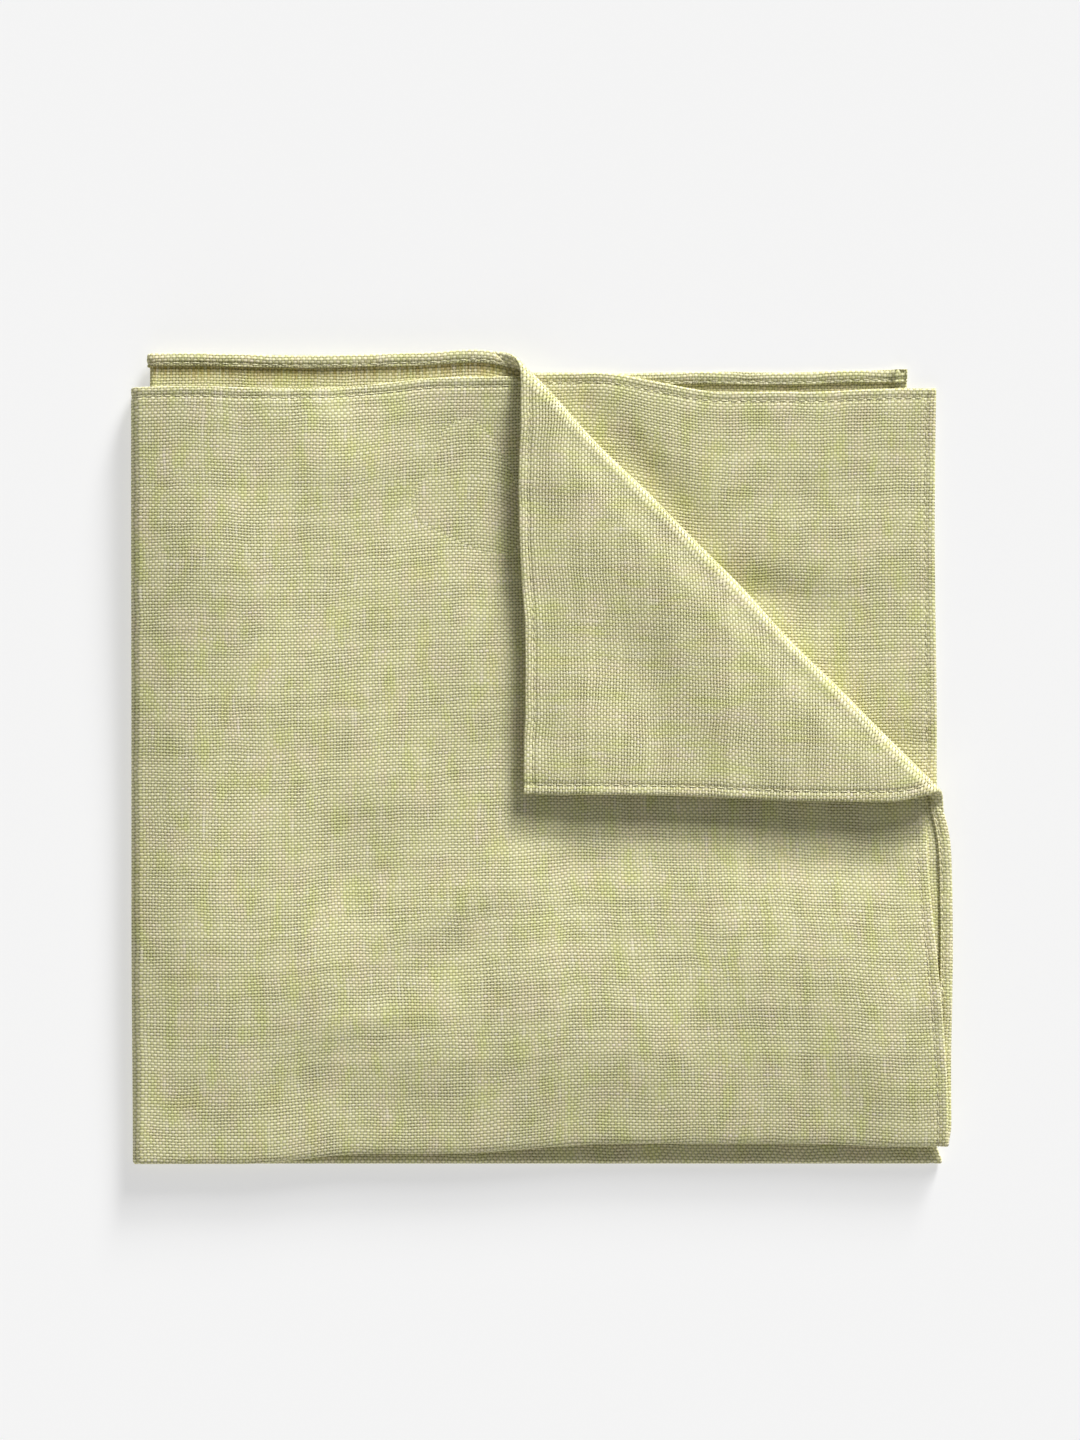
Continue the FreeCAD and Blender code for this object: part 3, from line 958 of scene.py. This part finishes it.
for piece in (main_sheet, thread_pieces["main_stitches"]):
    bend_between(piece, "lower_leaf", "upper_leaf", BOOK_Z, BOOK_BAND)
corner_threads = [thread_pieces[name] for name in ("inside_stitches", "outside_stitches")]
for piece in (corner_inside, corner_outside, *corner_threads):
    bend_between(piece, "upper_leaf", "turned_corner", CREASE_Z, CREASE_BAND)
for piece in (main_sheet, corner_inside, corner_outside):
    weights = np.zeros(len(piece.data.vertices))
    piece.data.attributes["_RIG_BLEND"].data.foreach_get("value", weights)
    print(piece.name, "points that turn:", int(((weights > 0) & (weights < 1)).sum()))

# %% [markdown]
# The imported model holds the same cloth as plain solids: quarters, folds, hems and stitches. The sheets
# show all of that cloth at once, so the solids are hidden, group by group for the sheet that stands for
# them. The two corners are triangles, and each is given as the square on the short side of a right
# triangle of the same area.

# %% Which parts of the frame the pieces stand for
names = [s["node"] for s in frame["record"]["subparts"]]
corner_names = [n for n in names if n.startswith("corner_") or "_corner_" in n]
outer = [n for n in corner_names if n.endswith("_2") or n == "outer_corner_fold"]
inner = [n for n in corner_names if n not in outer]
rest = [n for n in names if n not in corner_names]
for piece, threads, nodes in (
    (main_sheet, "main_stitches", rest),
    (corner_inside, "inside_stitches", inner),
    (corner_outside, "outside_stitches", outer),
):
    sewn = [n for n in nodes if n.startswith("stitch_")]
    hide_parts(*[n for n in nodes if n not in sewn])
    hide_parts(*sewn)
print(len(rest), "nodes on the main sheet,", len(inner), "and", len(outer), "on the corner sheets")

for piece, threads in ((corner_inside, "inside_stitches"), (corner_outside, "outside_stitches")):
    side = math.sqrt(2 * areas[piece.name])

# %% [markdown]
# The cloth lies on a plain pale ground and is seen from straight above. Two suns come low and soft from
# beyond the top edge, a little from the right, so that the folds and hems cast soft shadows towards the
# viewer's side and the weave shows. A weak third sun from the near side lightens the edges that face it.
# Wide suns light the ground evenly, which lamps close by would not. The ground also glows faintly, as
# paper on a light table does, which keeps its shadow pale. A view that looks past the ground sees a plain
# backdrop of nearly the same tone.

# %% The floor
bm = bmesh.new()
bmesh.ops.create_grid(bm, x_segments=1, y_segments=1, size=3.0)
mesh = bpy.data.meshes.new("floor")
bm.to_mesh(mesh)
bm.free()
floor = bpy.data.objects.new("floor", mesh)
scene.collection.objects.link(floor)
GROUND_SHADE = 0.46
GROUND_GLOW = 0.525
paper = bpy.data.materials.new("pale ground")
paper.use_nodes = True
shader = paper.node_tree.nodes["Principled BSDF"]
shader.inputs["Base Color"].default_value = (GROUND_SHADE, GROUND_SHADE, GROUND_SHADE, 1)
shader.inputs["Emission Color"].default_value = (1, 1, 1, 1)
shader.inputs["Emission Strength"].default_value = GROUND_GLOW
shader.inputs["Roughness"].default_value = 0.9
shader.inputs["Specular IOR Level"].default_value = 0.0
floor.data.materials.append(paper)
print("ground:", "shade", GROUND_SHADE, "glow", GROUND_GLOW)

# %% The light from all around, and the backdrop
SKY = 0.19
BACKDROP = 0.93
world = bpy.data.worlds.new("studio")
world.use_nodes = True
tree = world.node_tree
light = tree.nodes["Background"]
light.inputs["Color"].default_value = (1, 1, 1, 1)
light.inputs["Strength"].default_value = SKY
backdrop = tree.nodes.new("ShaderNodeBackground")
backdrop.inputs["Color"].default_value = (BACKDROP, BACKDROP, BACKDROP, 1)
seen = tree.nodes.new("ShaderNodeLightPath")
choose = tree.nodes.new("ShaderNodeMixShader")
link(tree, seen.outputs["Is Camera Ray"], choose.inputs[0])
link(tree, light.outputs[0], choose.inputs[1])
link(tree, backdrop.outputs[0], choose.inputs[2])
link(tree, choose.outputs[0], tree.nodes["World Output"].inputs["Surface"])
scene.world = world
print("sky", SKY, "and backdrop", BACKDROP)

# %% The suns


def sun(name, strength, lean, heading, spread):
    """A sun that leans from overhead by lean degrees, towards the compass heading (0 is +Y, 90 is +X)."""
    lamp = bpy.data.lights.new(name, "SUN")
    lamp.energy = strength
    lamp.angle = math.radians(spread)
    ob = bpy.data.objects.new(name, lamp)
    h, l = math.radians(heading), math.radians(lean)
    towards = Vector((math.sin(l) * math.sin(h), math.sin(l) * math.cos(h), math.cos(l)))
    ob.rotation_euler = towards.to_track_quat("Z", "Y").to_euler()
    scene.collection.objects.link(ob)
    return ob


suns = [
    sun("window", 2.5, 66, 26, 20),
    sun("low window", 2.9, 75, 20, 12),
    sun("reflector", 0.9, 74, 186, 50),
]
print("suns:", [ob.name for ob in suns])

# %% [markdown]
# A long lens from high above shows the packet almost without perspective, as a catalogue does. A near
# camera would make the raised corner look larger than it is. The lens is worked out from the height of
# the picture at the cloth.

# %% The camera
HIGH = 1.6             # metres above the cloth
VIEW = 0.4095          # height of the picture at the cloth, in metres
SENSOR = 36.0
lens = bpy.data.cameras.new("camera")
lens.type = "PERSP"
lens.sensor_width = SENSOR
lens.lens = SENSOR / 2 / (VIEW / 2 / HIGH)
camera = bpy.data.objects.new("camera", lens)
camera.location = (-0.0003, 0.0115, HIGH + 0.006)
scene.collection.objects.link(camera)
scene.camera = camera
scene.view_settings.view_transform = "Standard"
print("lens", round(lens.lens, 1), "mm")
